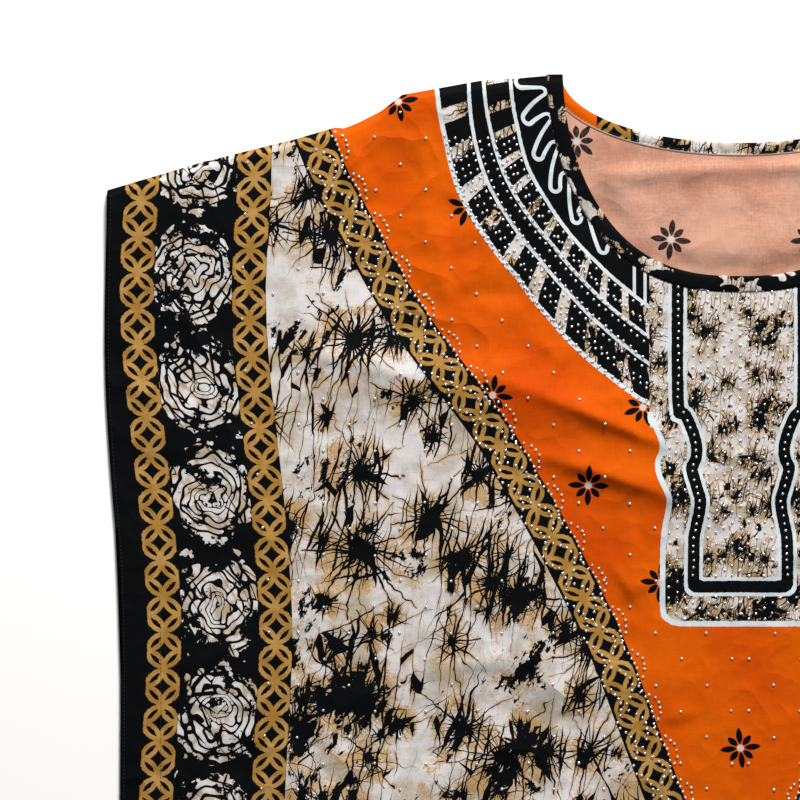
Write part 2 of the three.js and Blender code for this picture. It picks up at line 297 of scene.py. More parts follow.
SLANT = np.array([  # distance below the shoulder point, distance of the slanting chain from the centre
    (0.050, 0.3590), (0.085, 0.3450), (0.120, 0.3270), (0.155, 0.3080), (0.190, 0.2880),
    (0.225, 0.2650), (0.262, 0.2370), (0.300, 0.2090), (0.340, 0.1850), (0.380, 0.1620),
    (0.420, 0.1410), (0.460, 0.1210), (0.500, 0.1040), (0.540, 0.0890), (0.580, 0.0740),
    (0.620, 0.0590), (0.660, 0.0440), (0.700, 0.0290), (0.740, 0.0140), (0.780, -0.0010),
])
SLANT_HALF = 0.0160  # half the width of the slanting chain's band
SLANT_PITCH = 0.0292
NECK_CENTRE = 0.0126  # distance below the shoulder point
NECK_RINGS = np.array([  # angle below level, then radius of the neck edge and of the four white lines
    (-10, 0.150, 0.1960, 0.2180, 0.2300, 0.2580), (-3, 0.1487, 0.1932, 0.2159, 0.2281, 0.2558),
    (10, 0.1439, 0.1896, 0.2121, 0.2270, 0.2508), (20, 0.1443, 0.1898, 0.2104, 0.2260, 0.2510),
    (30, 0.1489, 0.1872, 0.2071, 0.2224, 0.2472), (40, 0.1535, 0.1873, 0.2043, 0.2203, 0.2444),
    (50, 0.1598, 0.1883, 0.2072, 0.2233, 0.2497), (60, 0.1630, 0.1924, 0.2129, 0.2302, 0.2590),
    (66, 0.1617, 0.1966, 0.2176, 0.2359, 0.2648), (72, 0.1607, 0.2016, 0.2234, 0.2428, 0.2728),
    (90, 0.1579, 0.2110, 0.2330, 0.2540, 0.2860),
])
BIB = np.array([  # half the width and distance below the shoulder point, down the bib's outer edge
    (0.0764, 0.130), (0.0764, 0.276), (0.0728, 0.292), (0.0664, 0.307), (0.0664, 0.317),
    (0.0697, 0.325), (0.0680, 0.337), (0.0616, 0.351), (0.0600, 0.361), (0.0640, 0.384),
    (0.0651, 0.408), (0.0651, 0.449), (0.0616, 0.456), (0.0546, 0.460), (0.0395, 0.4607),
    (0.0, 0.4607),
])
BIB_INNER = np.array([  # the same down the bib's inner edge
    (0.0588, 0.130), (0.0588, 0.276), (0.0511, 0.290), (0.0445, 0.307), (0.0433, 0.319),
    (0.0475, 0.330), (0.0428, 0.349), (0.0403, 0.360), (0.0440, 0.380), (0.0454, 0.390),
    (0.0457, 0.429), (0.0433, 0.433), (0.0395, 0.436), (0.0, 0.436),
])
FLOWERS = [  # distance from the centre and below the shoulder point, turn in degrees
    (0.1277, 0.3446, 2), (0.2080, 0.2690, 8), (0.2870, 0.0230, -10), (0.2290, 0.1110, 20),
    (0.0820, 0.2790, -20), (0.0672, 0.4260, 4), (0.1020, 0.5200, 10), (0.0, 0.5650, -6),
    (0.0, 0.6700, 4),
]
ROSETTE_OFFSET = 0.0755  # middle of the rosettes from the side edge
ROSETTE_PITCH = 0.0925
ROSETTE_FIRST = 0.074  # first rosette's middle below the shoulder point
ROSETTE_COLUMN = 0.0325  # half the width of the column of rosettes


def path_field(x, y, path, side):
    """Signed distance from a path, positive on the given side, and distance along it."""
    best = np.full(x.shape, 1e9)
    signed = np.zeros(x.shape)
    along = np.zeros(x.shape)
    walked = 0.0
    for (ax, ay), (bx, by) in zip(path[:-1], path[1:]):
        dx, dy = bx - ax, by - ay
        size = math.hypot(dx, dy)
        t = ((x - ax) * dx + (y - ay) * dy) / size**2
        held = np.clip(t, 0, 1)
        gap = np.hypot(x - ax - held * dx, y - ay - held * dy)
        nearer = gap < best
        cross = ((x - ax) * dy - (y - ay) * dx) * side
        best = np.where(nearer, gap, best)
        signed = np.where(nearer, np.where(cross < 0, -gap, gap), signed)
        along = np.where(nearer, walked + held * size, along)
        walked += size
    return signed, along


def smooth_path(table, count):
    """A finer, rounder version of a short table of points."""
    points = np.asarray(table, float)
    ahead = np.vstack([2 * points[0] - points[1], points, 2 * points[-1] - points[-2]])
    out = []
    for i in range(1, len(ahead) - 2):
        a, b, c, d = ahead[i - 1 : i + 3]
        for t in np.linspace(0, 1, count, endpoint=False):
            out.append(0.5 * (2 * b + (c - a) * t + (2 * a - 5 * b + 4 * c - d) * t**2
                              + (3 * b - a - 3 * c + d) * t**3))
    out.append(points[-1])
    return np.array(out)


def print_fields(x, y):
    """Where points of a panel lie in the print: a dictionary of arrays with three columns each."""
    half = np.abs(x)
    down = top_y - y
    bow = np.interp(down, BORDER_BOW[:, 0], BORDER_BOW[:, 1])
    edge = PRINT_HALF - (half + bow * smoothstep(half, 0.28, 0.39))
    hem = y - hem_y(x)
    slant_path = smooth_path(SLANT[:, ::-1], 4)
    off_slant, along_slant = path_field(half, down, slant_path, -1)
    off_slant = np.where(down > SLANT[-1, 0], -np.abs(off_slant), off_slant)
    below = down - NECK_CENTRE
    radius = np.hypot(half, below)
    angle = np.degrees(np.arctan2(below, half))
    rings = [np.interp(angle, NECK_RINGS[:, 0], NECK_RINGS[:, k]) for k in range(1, 6)]
    off_bib, _ = path_field(half, down, smooth_path(BIB, 4), 1)
    off_inner, _ = path_field(half, down, smooth_path(BIB_INNER, 4), 1)
    return {
        "border": np.stack([edge, down, hem], -1),
        "slant": np.stack([off_slant, along_slant, half], -1),
        "neck_lines": np.stack([radius - rings[1], radius - rings[2], radius - rings[3]], -1),
        "neck_reach": np.stack([radius - rings[4], angle, radius - rings[0]], -1),
        "bib": np.stack([off_bib, off_inner, down], -1),
        "place": np.stack([x, y, 0 * x], -1),
    }


def nearest_flower(x, y, flowers):
    """For each face, the place of the nearest flower and its turn."""
    spots = np.array([(side * out, top_y - down, side * math.radians(turn)) for out, down, turn in flowers
                      for side in (-1, 1)])
    gap = np.hypot(x[:, None] - spots[None, :, 0], y[:, None] - spots[None, :, 1])
    return spots[np.argmin(gap, axis=1)]


# --- Weaving, dyeing and printing: shader groups that all the cloth shares ------------------------------
# Each group takes places or distances in metres and gives out masks from 0 to 1 or heights. A Value is a
# number that changes over the surface; plain arithmetic on it adds the nodes that work it out.
class Value:
    def __init__(self, tree, socket):
        self.tree, self.socket = tree, socket

    def work(self, operation, *terms):
        node = self.tree.nodes.new("ShaderNodeMath")
        node.operation = operation
        for place, term in zip(node.inputs, terms):
            feed(self.tree, place, term)
        return Value(self.tree, node.outputs[0])

    def __add__(self, other):
        return self.work("ADD", self, other)

    def __sub__(self, other):
        return self.work("SUBTRACT", self, other)

    def __rsub__(self, other):
        return self.work("SUBTRACT", other, self)

    def __mul__(self, other):
        return self.work("MULTIPLY", self, other)

    def __truediv__(self, other):
        return self.work("DIVIDE", self, other)

    def __rtruediv__(self, other):
        return self.work("DIVIDE", other, self)

    def __pow__(self, other):
        return self.work("POWER", self, other)

    def __mod__(self, other):
        return self.work("FLOORED_MODULO", self, other)

    def __lt__(self, other):
        return self.work("LESS_THAN", self, other)

    def __gt__(self, other):
        return self.work("GREATER_THAN", self, other)

    def __abs__(self):
        return self.work("ABSOLUTE", self)

    __radd__ = __add__
    __rmul__ = __mul__


def feed(tree, socket, value):
    """Links a socket to a value, or sets it to a number or colour."""
    if isinstance(value, Value):
        value = value.socket
    if isinstance(value, bpy.types.NodeSocket):
        tree.links.new(value, socket)
    elif isinstance(value, tuple) and socket.type == "RGBA":
        socket.default_value = (*value, 1)
    else:
        socket.default_value = value


def sin(value):
    return value.work("SINE", value)


def cos(value):
    return value.work("COSINE", value)


def fract(value):
    return value.work("FRACT", value)


def floor_of(value):
    return value.work("FLOOR", value)


def nearest(value):
    return value.work("ROUND", value)


def least(first, *others):
    for other in others:
        first = first.work("MINIMUM", first, other)
    return first


def most(first, *others):
    for other in others:
        first = first.work("MAXIMUM", first, other)
    return first


def reach_of(x, y):
    squares = x * x + y * y
    return squares.work("SQRT", squares)


def heading(x, y):
    return x.work("ARCTAN2", y, x)


def ramp(value, low, high):
    """0 at low, 1 at high and smooth between; low may be the larger."""
    node = value.tree.nodes.new("ShaderNodeMapRange")
    node.interpolation_type = "SMOOTHSTEP"
    feed(value.tree, node.inputs["Value"], value)
    node.inputs["From Min"].default_value = min(low, high)
    node.inputs["From Max"].default_value = max(low, high)
    node.inputs["To Min"].default_value = 0 if low < high else 1
    node.inputs["To Max"].default_value = 1 if low < high else 0
    return Value(value.tree, node.outputs["Result"])


def over(mask, above, below):
    """One colour laid over another where a mask is 1."""
    node = mask.tree.nodes.new("ShaderNodeMix")
    node.data_type = "RGBA"
    feed(mask.tree, node.inputs["Factor"], mask)
    feed(mask.tree, node.inputs[6], below)
    feed(mask.tree, node.inputs[7], above)
    return node.outputs[2]


def split(tree, vector):
    node = tree.nodes.new("ShaderNodeSeparateXYZ")
    feed(tree, node.inputs[0], vector)
    return [Value(tree, out) for out in node.outputs]


def join(x, y, z=0.0):
    node = x.tree.nodes.new("ShaderNodeCombineXYZ")
    for socket, value in zip(node.inputs, (x, y, z)):
        feed(x.tree, socket, value)
    return Value(x.tree, node.outputs[0])


def cloudy(place, scale, detail=2.0, rough=0.5):
    node = place.tree.nodes.new("ShaderNodeTexNoise")
    feed(place.tree, node.inputs["Vector"], place)
    node.inputs["Scale"].default_value = scale
    node.inputs["Detail"].default_value = detail
    node.inputs["Roughness"].default_value = rough
    return Value(place.tree, node.outputs["Fac"])


def stirred(place, scale, amount):
    """The same place, pushed about by noise."""
    x, y, z = split(place.tree, place)
    push_x = cloudy(place, scale, 3.0, 0.55)
    push_y = cloudy(join(y + 3.1, x - 1.7, z), scale, 3.0, 0.55)
    return join(x + (push_x - 0.5) * amount, y + (push_y - 0.5) * amount, z)


def cell_edges(place, scale):
    """Distance to the nearest edge of a net of irregular cells, as a share of a cell."""
    node = place.tree.nodes.new("ShaderNodeTexVoronoi")
    node.voronoi_dimensions = "2D"
    node.feature = "DISTANCE_TO_EDGE"
    feed(place.tree, node.inputs["Vector"], place)
    node.inputs["Scale"].default_value = scale
    return Value(place.tree, node.outputs["Distance"])


def cell_middles(place, scale):
    """The nearest cell's middle: how far off it lies across and along, and a number of its own."""
    node = place.tree.nodes.new("ShaderNodeTexVoronoi")
    node.voronoi_dimensions = "2D"
    feed(place.tree, node.inputs["Vector"], place)
    node.inputs["Scale"].default_value = scale
    x, y, _ = split(place.tree, place)
    middle_x, middle_y, _ = split(place.tree, node.outputs["Position"])
    own, own_b, _ = split(place.tree, node.outputs["Color"])
    return x - middle_x, y - middle_y, own, own_b


def random_of(value, seed):
    """A number from 0 to 1 that jumps with whole steps of the value."""
    mixed = sin(value * 12.9898 + seed * 78.233) * 43758.5453
    return fract(mixed)


def new_group(name, inputs, outputs):
    group = bpy.data.node_groups.new(name, "ShaderNodeTree")
    for label, kind in inputs.items():
        group.interface.new_socket(label, in_out="INPUT", socket_type="NodeSocket" + kind)
    for label in outputs:
        group.interface.new_socket(label, in_out="OUTPUT", socket_type="NodeSocketFloat")
    given = {out.name: Value(group, out) for out in group.nodes.new("NodeGroupInput").outputs if out.name}
    return group, given, group.nodes.new("NodeGroupOutput").inputs


def use(tree, group, **inputs):
    node = tree.nodes.new("ShaderNodeGroup")
    node.node_tree = group
    for label, value in inputs.items():
        feed(tree, node.inputs[label], value)
    return {out.name: Value(tree, out) for out in node.outputs}


# Plain weave: two sets of fine threads, and a slight streakiness of the dye along them.
weave, given, gives = new_group("plain_weave", {"Place": "Vector"}, ["Height", "Streak"])
x, y, _ = split(weave, given["Place"])
THREADS = 8200  # radians of thread to a metre
feed(weave, gives["Height"], sin(x * THREADS) * sin(y * THREADS))
warp_streak = cloudy(join(x * 900, y * 60), 1.0)
weft_streak = cloudy(join(x * 60, y * 900), 1.0)
feed(weave, gives["Streak"], (warp_streak + weft_streak) * 0.5)

# Chain of rings: each ring touches the next, and arcs of further rings cross inside it.
chain, given, gives = new_group(
    "ring_chain", {"Across": "Float", "Along": "Float", "Pitch": "Float", "Place": "Vector"}, ["Gold"]
)
hand = cloudy(given["Place"], 420) - 0.5
x = abs(given["Across"] / given["Pitch"]) + hand * 0.05
y = abs(fract(given["Along"] / given["Pitch"] + 0.5) - 0.5)
ring = abs(reach_of(x, y) - 0.452)
arcs = abs(reach_of(x - 0.5, y - 0.5) - 0.5)
painted = ramp(least(ring, arcs) + hand * 0.05, 0.070, 0.054)
waist = ramp(reach_of(x, (y - 0.5) * 0.8), 0.150, 0.125)
feed(chain, gives["Gold"], most(painted, waist) * ramp(x, 0.475, 0.46))

# Starburst: the dye has soaked in at a hub and run out from it along cracks in the wax. Near is 1 at a hub
# and 0 well away from it; Fringe is the cloth just beside a crack.
burst, given, gives = new_group(
    "starburst",
    {"Place": "Vector", "Count": "Float", "Share": "Float", "Hub": "Float", "Reach": "Float",
     "Thick": "Float", "Rays": "Float"},
    ["Black", "Near", "Fringe"],
)
scaled = join(*[part * given["Count"] for part in split(burst, given["Place"])[:2]])
dx, dy, own, own_b = cell_middles(scaled, 1.0)
present = own < given["Share"]
off = reach_of(dx, dy) / given["Count"]
round_it = heading(dx, dy) * given["Rays"] / (2 * math.pi) + (cloudy(given["Place"], 45) - 0.5) * 1.6
ray = floor_of(round_it)
luck = random_of(ray, own_b)
jitter = (random_of(ray + 5.0, own_b) - 0.5) * 0.5
length = given["Reach"] * (luck * luck * 0.85 + 0.15) * (own_b * 0.6 + 0.6)
gap = abs(fract(round_it) - 0.5 + jitter) * off * (2 * math.pi) / given["Rays"]
thin = given["Thick"] * (1.0 - off / length) * (random_of(ray + 9.0, own_b) * 0.8 + 0.5)
rays = gap < thin
core = off < given["Hub"] * (own_b * 0.7 + 0.5) * (cloudy(given["Place"], 150, 4.0, 0.7) * 2.4 - 0.35)
feed(burst, gives["Black"], most(rays, core) * present)
feed(burst, gives["Fringe"], ramp(gap - thin, 0.0022, 0.0) * (off < length * 0.8) * present)
feed(burst, gives["Near"], ramp(off / (given["Reach"] * (own_b * 0.6 + 0.6)), 0.50, 0.03) * present)

# Crackle batik: starbursts large and small, long splinters between them, and tan where the dye crept on.
crackle, given, gives = new_group(
    "crackle", {"Place": "Vector", "Darkness": "Float"}, ["Black", "Halo", "Ground"]
)
bent = stirred(given["Place"], 24, 0.016)
dark = given["Darkness"]
x, y, _ = split(crackle, bent)
BURSTS = [  # across, along, to a metre, share, more with the dark, hub, reach, thickness, rays
    (0.00, 0.00, 10.5, 0.85, 1.0, 0.0090, 0.095, 0.00120, 27.0),
    (0.41, 0.67, 11.7, 0.62, 2.4, 0.0072, 0.085, 0.00105, 22.0),
    (0.37, 0.21, 19.0, 0.42, 2.4, 0.0048, 0.052, 0.00085, 15.0),
    (-0.53, 0.77, 36.0, 0.16, 1.6, 0.0026, 0.026, 0.00065, 9.0),
]
burst_black, near, fringe = [], [], []
for shift_x, shift_y, count, share, more, hub, reach, thick, rays in BURSTS:
    one = use(crackle, burst, Place=join(x + shift_x, y + shift_y), Count=count, Share=dark * more + share,
              Hub=hub, Reach=reach, Thick=thick, Rays=rays)
    burst_black.append(one["Black"])
    near.append(one["Near"])
    fringe.append(one["Fringe"])
near = most(*near)
streaked = join(x * 0.30 + y * 0.52, x * 1.05 - y * 0.62)  # drawn out from upper right to lower left
cloud = cloudy(streaked, 13, 3.0, 0.6)
ragged = cloudy(streaked, 90, 4.0, 0.7)
blot = ramp(cloud * 0.60 + ragged * 0.40 + dark * 0.34 + near * 0.045, 0.600, 0.608)
SPLINTERS = [  # their run across and along, how closely they lie, how dark it must be before they show
    (0.16, 0.99, 3.6, 0.36), (0.34, 0.94, 1.6, 0.42), (0.88, 0.47, 1.5, 0.45),
]
splinters = []
for run_x, run_y, squeeze, low in SPLINTERS:
    lengthwise, crosswise = x * run_x + y * run_y, x * run_y - y * run_x
    net = cell_edges(join(lengthwise * 0.34, crosswise * squeeze), 27)
    strength = ramp(cloudy(join(x + low * 9, y), 11) * 0.75 + near * 0.30 + dark * 0.6, low, low + 0.2)
    width = strength * (near * 0.0125 + 0.0115) * squeeze
    splinters.append(net < width)
    fringe.append(ramp(net - width, 0.10, 0.0) * ramp(strength, 0.10, 0.5))
hair = cell_edges(bent, 70) < (near * near * 0.075 + dark * 0.30 - 0.030)
feed(crackle, gives["Black"], most(*burst_black, blot, *splinters, hair))
creep = cloudy(bent, 48, 5.0, 0.72)
grain = cloudy(given["Place"], 560, 3.0, 0.7)
around_black = ramp(near + dark * 2.4 + (cloud - 0.5) * 2.2, 0.05, 0.75)
soaked = ramp(creep + (grain - 0.5) * 0.55 + around_black * 0.17 + dark * 0.3, 0.580, 0.72)
hugging = most(*fringe) * ramp(creep + (grain - 0.5) * 0.5, 0.36, 0.60)
feed(crackle, gives["Halo"], most(soaked, hugging) * 0.92)
feed(crackle, gives["Ground"], cloudy(given["Place"], 26, 4.0, 0.6))

# Flower: eight pointed petals, the four upright ones longer, round a pale dot.
flower, given, gives = new_group("flower", {"Place": "Vector"}, ["Petals", "Dot"])
x, y, _ = split(flower, given["Place"])
off = reach_of(x, y)
eighth = math.pi / 4
turn = heading(x, y) / eighth
aside = (turn - nearest(turn)) * eighth
is_long = 1.0 - abs(nearest(turn)) % 2.0
run_out = most(least((off * cos(aside) - 0.0032) / (is_long * 0.0035 + 0.0105), 1.0), 0.0)
belly = ((run_out * (1.0 - run_out)) ** 0.75) * 0.0078
feed(flower, gives["Petals"], ramp(belly - abs(off * sin(aside)), 0.0, 0.0003))
feed(flower, gives["Dot"], ramp(off, 0.0031, 0.0027))

# Rosette: curved strokes wound round each other, broader towards the middle, with dots along one side and
# cracks across it all.
rosette, given, gives = new_group("rosette", {"Place": "Vector", "Seed": "Float"}, ["White", "Stain"])
x, y, _ = split(rosette, given["Place"])
seed = given["Seed"]
seeded = join(x, y, seed)
wander = cloudy(seeded, 48, 1.0)
off = reach_of(x * 1.15, y)
angle = heading(x, y)
STROKE_PITCH = 0.0078
ROSETTE_RADIUS = 0.0405
inward = ramp(off, 0.030, 0.006)
coil = off / STROKE_PITCH + angle / (2 * math.pi) + (wander - 0.5) * (inward * 5.5 + 2.6) + seed * 3.0
which = random_of(floor_of(coil), seed)
across = abs(fract(coil) - 0.5) * 2.0
around = fract(angle * (1.5 / math.pi) + which * 5.0 + seed)
ends = abs(around - 0.5) * 2.0
stroke = (across ** 2 + ends ** 14) < (0.40 + inward * 0.16 + which * 0.10)
disc = off < ROSETTE_RADIUS + (wander - 0.5) * 0.030
dot_turn = angle * (21 / (2 * math.pi)) + seed * 2.0
dot_off = off - 0.0405 - (random_of(floor_of(dot_turn), seed) - 0.5) * 0.005
dot_row = reach_of((fract(dot_turn) - 0.5) * 0.0118, dot_off)
dot_size = random_of(floor_of(dot_turn) + 3.0, seed) * 0.0020 + 0.0013
dots = (dot_row < dot_size) * (cos(angle - seed * 5.0) > -0.3)
lengthwise, crosswise = x * 0.55 + y * 0.83, x * 0.83 - y * 0.55
net = cell_edges(join(lengthwise * 0.6 + seed, crosswise * 1.5), 62)
cracks = net < ramp(cloudy(seeded, 38), 0.42, 0.64) * 0.075
spoilt = ramp(cloudy(seeded, 40, 5.0, 0.72) + ramp(off, 0.020, 0.040) * 0.06, 0.572, 0.580)
scraps = ramp(cloudy(join(x * 1.4, y, seed + 5.0), 62, 2.0, 0.6), 0.615, 0.622) * (off > 0.041)
feed(rosette, gives["White"], most(stroke * disc, dots, scraps) * (1.0 - most(cracks, spoilt)))
feed(rosette, gives["Stain"], ramp(net, 0.20, 0.05) * ramp(wander, 0.42, 0.60))

# --- Colours of the print -------------------------------------------------------------------------------
# Dyes on cotton, as linear colours, and how they are laid over each other across a whole panel.
ORANGE = (0.63, 0.096, 0.0006)
ORANGE_DEEP = (0.56, 0.060, 0.0008)
GOLD = (0.34, 0.172, 0.034)
GOLD_PALE = (0.44, 0.248, 0.070)
BLACK = (0.0022, 0.0030, 0.0034)
WAX_WHITE = (0.63, 0.605, 0.595)
WAX_BEIGE = (0.42, 0.360, 0.275)
HALO_TAN = (0.46, 0.275, 0.105)
LINE_WHITE = (0.58, 0.635, 0.66)
PEACH = (0.58, 0.318, 0.225)
PEACH_DEEP = (0.47, 0.220, 0.145)
WRONG_SIDE_GREY = (0.012, 0.012, 0.014)
DOT_GREY = (0.52, 0.50, 0.48)
LINE_HALF = 0.00150  # half the width of the painted white lines
STRIPS_END = 0.0764  # the strips below the neck reach this far from the centre line
BAND_WIDTH = 0.0129  # black band inside the strips and the bib
BIB_TOP = 0.276
TWIN_LINES = 0.0890, 0.0800  # two short upright lines beside the strips, from the centre line


def field(tree, name):
    node = tree.nodes.new("ShaderNodeAttribute")
    node.attribute_name = name
    return node.outputs["Vector"]


def batik(tree, place, darkness):
    dye = use(tree, crackle, Place=place, Darkness=darkness)
    ground = over(ramp(dye["Ground"], 0.42, 0.68), WAX_BEIGE, WAX_WHITE)
    stained = over(dye["Halo"], HALO_TAN, ground)
    return over(dye["Black"], BLACK, stained)


def off_stroke(x, y, run_x, run_y, turn_radius):
    """How far a place lies from a straight stroke that touches the turns at its two ends."""
    half = reach_of(run_x, run_y)
    sine = turn_radius / half
    cosine = (1.0 - sine * sine) ** 0.5
    along_x = (run_x * cosine - run_y * sine) / half
    along_y = (run_x * sine + run_y * cosine) / half
    beyond = most(abs(x * along_x + y * along_y) - half * cosine, 0.0)
    return reach_of(beyond, x * along_y - y * along_x)


def painted_squiggle(angle, off_edge, line1):
    """A white line that swings to and fro between the binding and the first of the white lines."""
    DEGREE = 0.00300  # length of a degree along the middle of the line's run
    SWINGS, SLOWING = 0.11866, 0.000427  # swings to a degree, and how they get longer on the way down
    TURN_RADIUS = 0.0040
    width = off_edge - line1
    outward = (off_edge + line1) * 0.5 - width * (0.13 - angle * 0.0028)
    swing = width * (0.265 - angle * 0.0010)
    lean = (angle * 0.22 - angle * angle * 0.0024 + 1.3) * DEGREE / swing
    leant = angle - outward * lean / DEGREE - 1.6
    turns = leant * SWINGS - leant * leant * SLOWING
    pitch = DEGREE / (SWINGS - leant * (2 * SLOWING))
    reach = swing - TURN_RADIUS

    x_out = (fract(turns) - 0.5) * pitch + lean * (outward - reach)
    x_in = (turns - nearest(turns)) * pitch + lean * (outward + reach)
    outer_turn = abs(reach_of(x_out, outward - reach) - TURN_RADIUS) + ((x_out * lean + outward - reach) < 0)
    inner_turn = abs(reach_of(x_in, outward + reach) - TURN_RADIUS) + ((x_in * lean + outward + reach) > 0)
    run = lean * reach
    x_rising = (fract(turns + 0.25) - 0.5) * pitch + lean * outward
    rising = off_stroke(x_rising, outward, pitch * 0.25 + run, reach, TURN_RADIUS)
    x_falling = (fract(turns - 0.25) - 0.5) * pitch + lean * outward
    falling = off_stroke(x_falling, outward, pitch * 0.25 - run, reach * -1.0, -TURN_RADIUS)
    return (least(outer_turn, inner_turn, rising, falling) < 0.0016) * (angle < 54.5)


def neck_ornament(tree, scraps, half, down, hand):
    """Colour of the ornament round the neck and down to the bib, and the mask of where it lies."""
    line1, line2, line3 = split(tree, field(tree, "neck_lines"))
    line4, angle, off_edge = split(tree, field(tree, "neck_reach"))
    off_bib, off_inner, _ = split(tree, field(tree, "bib"))
    slips = hand * 60
    inner_turn = fract((angle - 3.2) / 6.3 - line1 * (angle * 0.30 + 9) + slips + 0.5)
    outer_turn = fract((angle - 3.8) / 7.6 - line3 * (angle * 0.20 + 7) + slips + 0.5)
    inner_beige = (abs(inner_turn - 0.5) < 0.155) * (line1 > 0) * (line2 < 0)
    outer_beige = (abs(outer_turn - 0.5) < 0.19) * (line3 > 0)
    ornament = over(most(inner_beige, outer_beige), scraps, BLACK)
    squiggle = painted_squiggle(angle, off_edge, line1) * (line1 < 0)
    lines = (least(abs(line1), abs(line2), abs(line3)) + hand) < LINE_HALF
    twins = (least(*[abs(half - at) for at in TWIN_LINES]) < 0.0013) * (line1 < 0) * (angle > 57)
    ornament = over(most(squiggle, lines, twins), LINE_WHITE, ornament)
    on_strips = most((half < STRIPS_END) * (down < BIB_TOP + 0.02), (off_bib < 0) * (down > BIB_TOP))
    band_middle = abs(off_inner + BAND_WIDTH / 2)
    strips = over(band_middle < BAND_WIDTH / 2, BLACK, scraps)
    strips = over((abs(band_middle - BAND_WIDTH / 2) + hand) < 0.0015, LINE_WHITE, strips)
    ornament = over(on_strips, strips, ornament)
    rim = ((abs(line4) + hand) < 0.0019) * (half > STRIPS_END)
    bib_line = ((abs(off_bib) + hand) < 0.0023) * (down > 0.283)
    ornament = over(most(rim, bib_line), LINE_WHITE, ornament)
    return ornament, most((line4 < 0) * (half > STRIPS_END), on_strips, rim, bib_line)


def panel_print(tree, with_ornament):
    """The print across a whole panel, from the fields that are stored with its points."""
    x, y, _ = split(tree, field(tree, "place"))
    flat = join(x, y)
    edge, down, hem = split(tree, field(tree, "border"))
    off_slant, along_slant, half = split(tree, field(tree, "slant"))
    hand = (cloudy(flat, 300, 3.0) - 0.5) * 0.0012
    worn = cloudy(flat, 70, 3.0)
    gold = over(ramp(worn, 0.40, 0.62), GOLD_PALE, GOLD)

    darkness = least(most((down - 0.30) * 0.42 - (edge - 0.26) * 0.10, -0.03), 0.085)
    finer = 1.0
    if with_ornament:
        line4 = split(tree, field(tree, "neck_reach"))[0]
        off_bib = split(tree, field(tree, "bib"))[0]
        in_ornament = most(line4 < 0, off_bib < 0) * (down < 0.50)
        darkness = darkness + in_ornament * 0.06
        finer = in_ornament * 0.85 + (off_bib < 0) * in_ornament * 0.5 + 1.0
    dyed = batik(tree, join(x * finer, y * finer), darkness)
    yoke = over(ramp(cloudy(flat, 9, 3.0), 0.38, 0.70), ORANGE_DEEP, ORANGE)
    blossom = use(tree, flower, Place=field(tree, "flower"))
    yoke = over(blossom["Dot"], DOT_GREY, over(blossom["Petals"], BLACK, yoke))
    colour = over((off_slant + hand) > 0, yoke, dyed)

    slant_rings = use(tree, chain, Across=off_slant, Along=along_slant, Pitch=SLANT_PITCH, Place=flat)["Gold"]
    colour = over(abs(off_slant) < SLANT_HALF, over(slant_rings, gold, BLACK), colour)

    outer = use(tree, chain, Across=edge - OUTER_CHAIN, Along=down, Pitch=RING_PITCH, Place=flat)["Gold"]
    inner = use(tree, chain, Across=edge - INNER_CHAIN, Along=down - 0.010, Pitch=RING_PITCH,
                Place=flat)["Gold"]
    rosette_row = nearest((down - ROSETTE_FIRST) / ROSETTE_PITCH)
    from_row = down - ROSETTE_FIRST - rosette_row * ROSETTE_PITCH
    marks = use(tree, rosette, Place=join(edge - ROSETTE_OFFSET, from_row), Seed=rosette_row * 0.37 + 0.2)
    wax = over(marks["Stain"] * 0.6, HALO_TAN, over(ramp(worn, 0.46, 0.62), WAX_BEIGE, WAX_WHITE))
    between_chains = abs(edge - ROSETTE_OFFSET) < ROSETTE_COLUMN
    border = over(marks["White"] * between_chains, wax, BLACK)
    border = over(most(outer, inner), gold, border)
    colour = over(edge < BATIK_EDGE, border, colour)

    hem_rings = use(tree, chain, Across=hem - HEM_CHAIN, Along=x, Pitch=RING_PITCH, Place=flat)["Gold"]
    on_hem = (hem < HEM_BAND) * (edge > 0.012)
    colour = over(on_hem, over(hem_rings, gold, BLACK), colour)
    if not with_ornament:
        return colour
    ornament, where = neck_ornament(tree, dyed, half, down, hand)
    return over(where, ornament, colour)


def cloth_material(name, colour_of, roughness=0.60):
    """Thin woven cotton in the given print, slightly crumpled all over."""
    material = bpy.data.materials.new(name)
    material.use_nodes = True
    tree = material.node_tree
    shader = tree.nodes["Principled BSDF"]
    x, y, _ = split(tree, field(tree, "place"))
    flat = join(x, y)
    threads = use(tree, weave, Place=flat)
    shade = most((threads["Streak"] - 0.40) * 0.40, 0.0)
    feed(tree, shader.inputs["Base Color"], over(shade, (0.0, 0.0, 0.0), colour_of(tree)))
    feed(tree, shader.inputs["Roughness"], threads["Streak"] * 0.12 + roughness)
    bump = tree.nodes.new("ShaderNodeBump")
    bump.inputs["Distance"].default_value = 1.0
    crumple = abs(cloudy(flat, 13, 2.0, 0.4) - 0.5) * ramp(cloudy(flat, 5.0), 0.42, 0.60)
    small_crumple = abs(cloudy(join(x + 7.0, y), 34, 1.0) - 0.5) * 0.0028
    height = threads["Height"] * 0.00002 + cloudy(flat, 55, 3.0) * 0.0007 - crumple * 0.017 - small_crumple
    feed(tree, bump.inputs["Height"], height)
    feed(tree, shader.inputs["Normal"], bump.outputs[0])
    shader.inputs["Specular IOR Level"].default_value = 0.035
    return material


# --- Front ----------------------------------------------------------------------------------------------
# One width of printed cotton with a deep round neck. It lies on the back in its folds, turned under by a
# narrow stitched hem down both sides and along the bottom.
def add_mesh(name, points, faces, material, smooth=True):
    mesh = bpy.data.meshes.new(name)
    mesh.from_pydata([tuple(p) for p in points], [], faces)
    mesh.materials.append(material)
    if smooth:
        mesh.polygons.foreach_set("use_smooth", [True] * len(mesh.polygons))
    piece = bpy.data.objects.new(name, mesh)
    bpy.context.scene.collection.objects.link(piece)
    return piece


